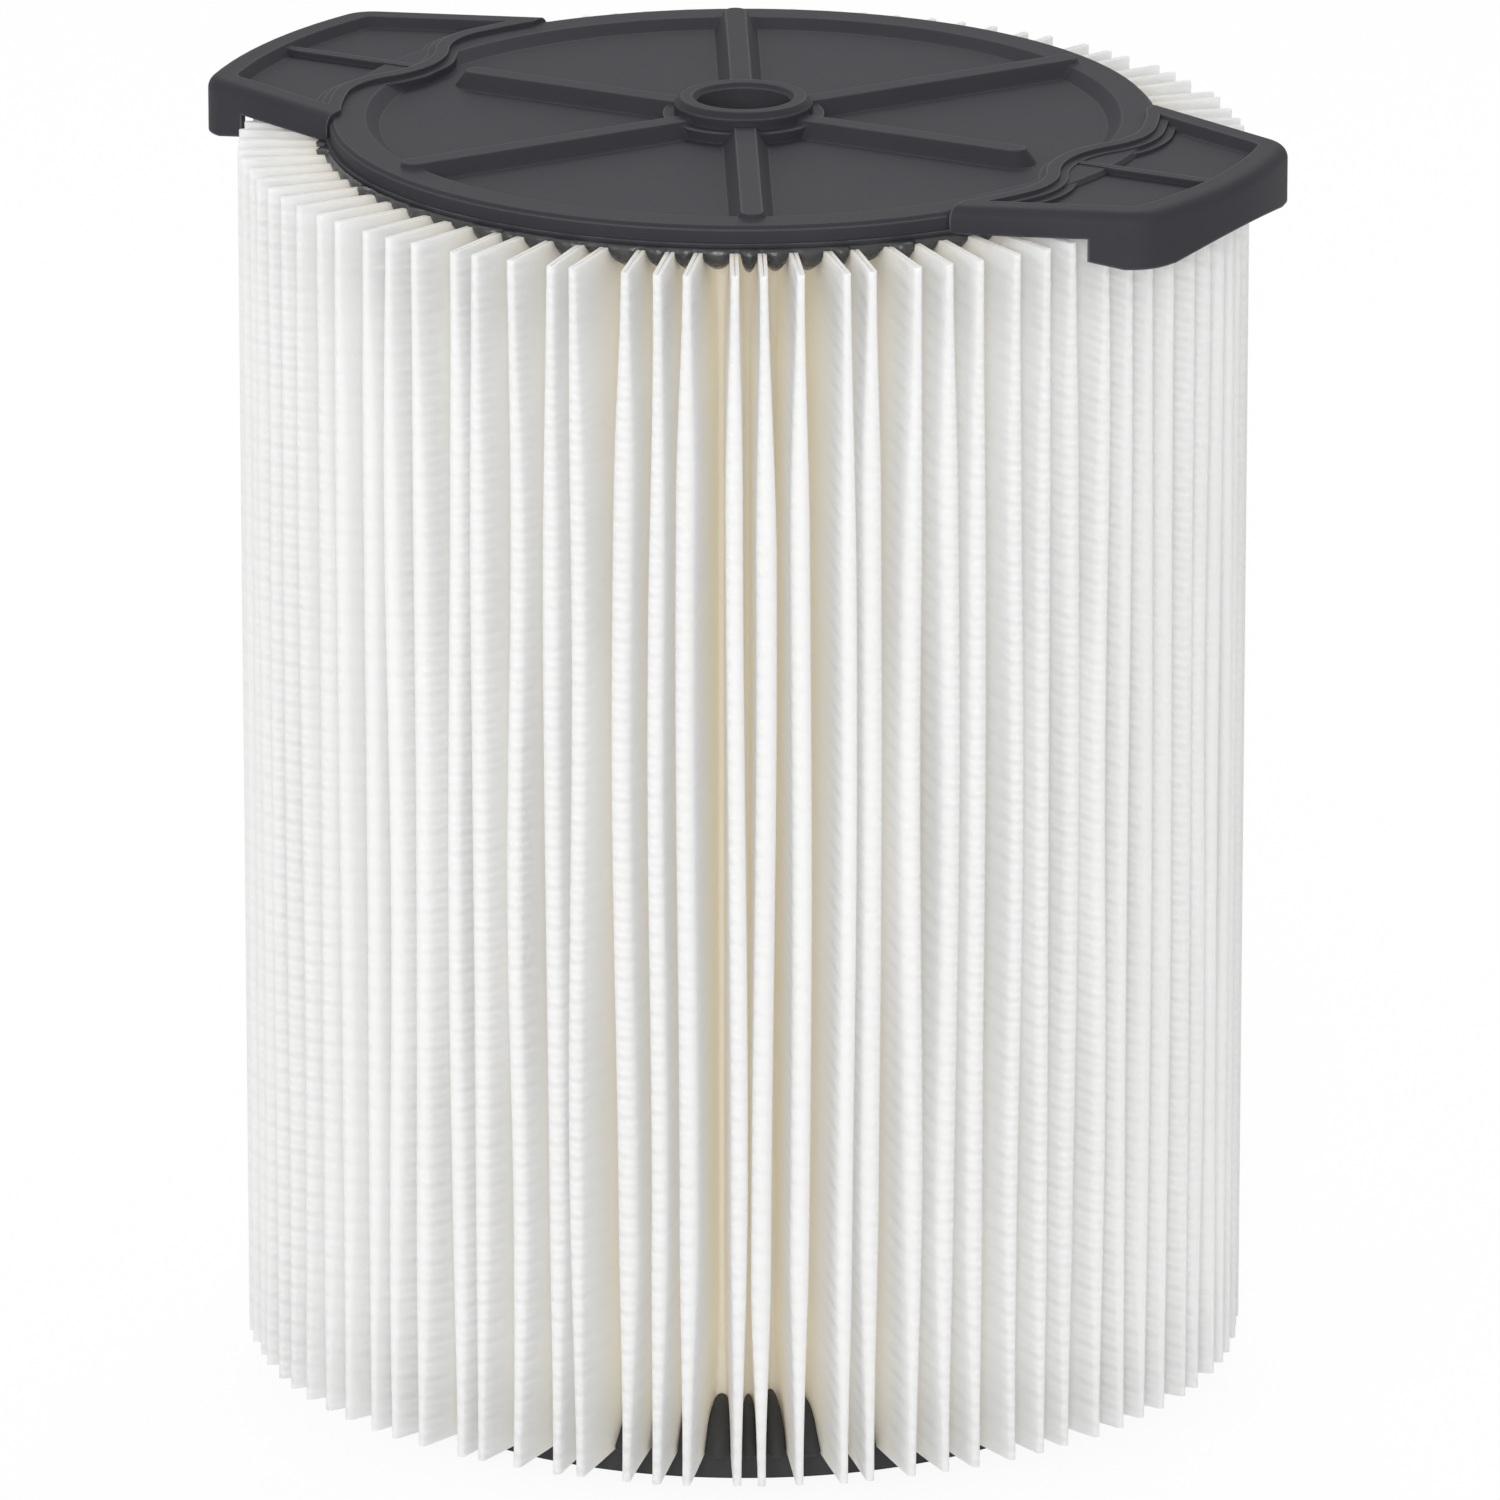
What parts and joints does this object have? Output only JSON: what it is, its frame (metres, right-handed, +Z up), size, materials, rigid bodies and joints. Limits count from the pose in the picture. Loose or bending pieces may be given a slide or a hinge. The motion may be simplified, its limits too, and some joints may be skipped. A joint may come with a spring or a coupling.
{
  "type": "pleated vacuum filter",
  "caption": "Round pleated paper cartridge filter with a ribbed closed cap, pull tabs, a central stud hole and a rubber ring round the open end.",
  "frame": {"origin": "centre of the bottom of the bounding box, on the filter's axis, at the rubber ring's face", "axes": "+Z up along the filter's axis towards the closed cap, +X along the two pull tabs, +Y across them"},
  "size_m": [0.1848, 0.1682, 0.22],
  "materials": {
    "cap_plastic": "satin black moulded plastic",
    "bond": "glossy black bonding compound",
    "filter_paper": "embossed off-white filter paper",
    "ring_rubber": "matt black rubber"
  },
  "bodies": {
    "root": {"end_cap": "cap_plastic", "top_bond": "bond", "pleated_media": "filter_paper", "bottom_bond": "bond", "seal_ring": "ring_rubber"}
  },
  "joints": []
}
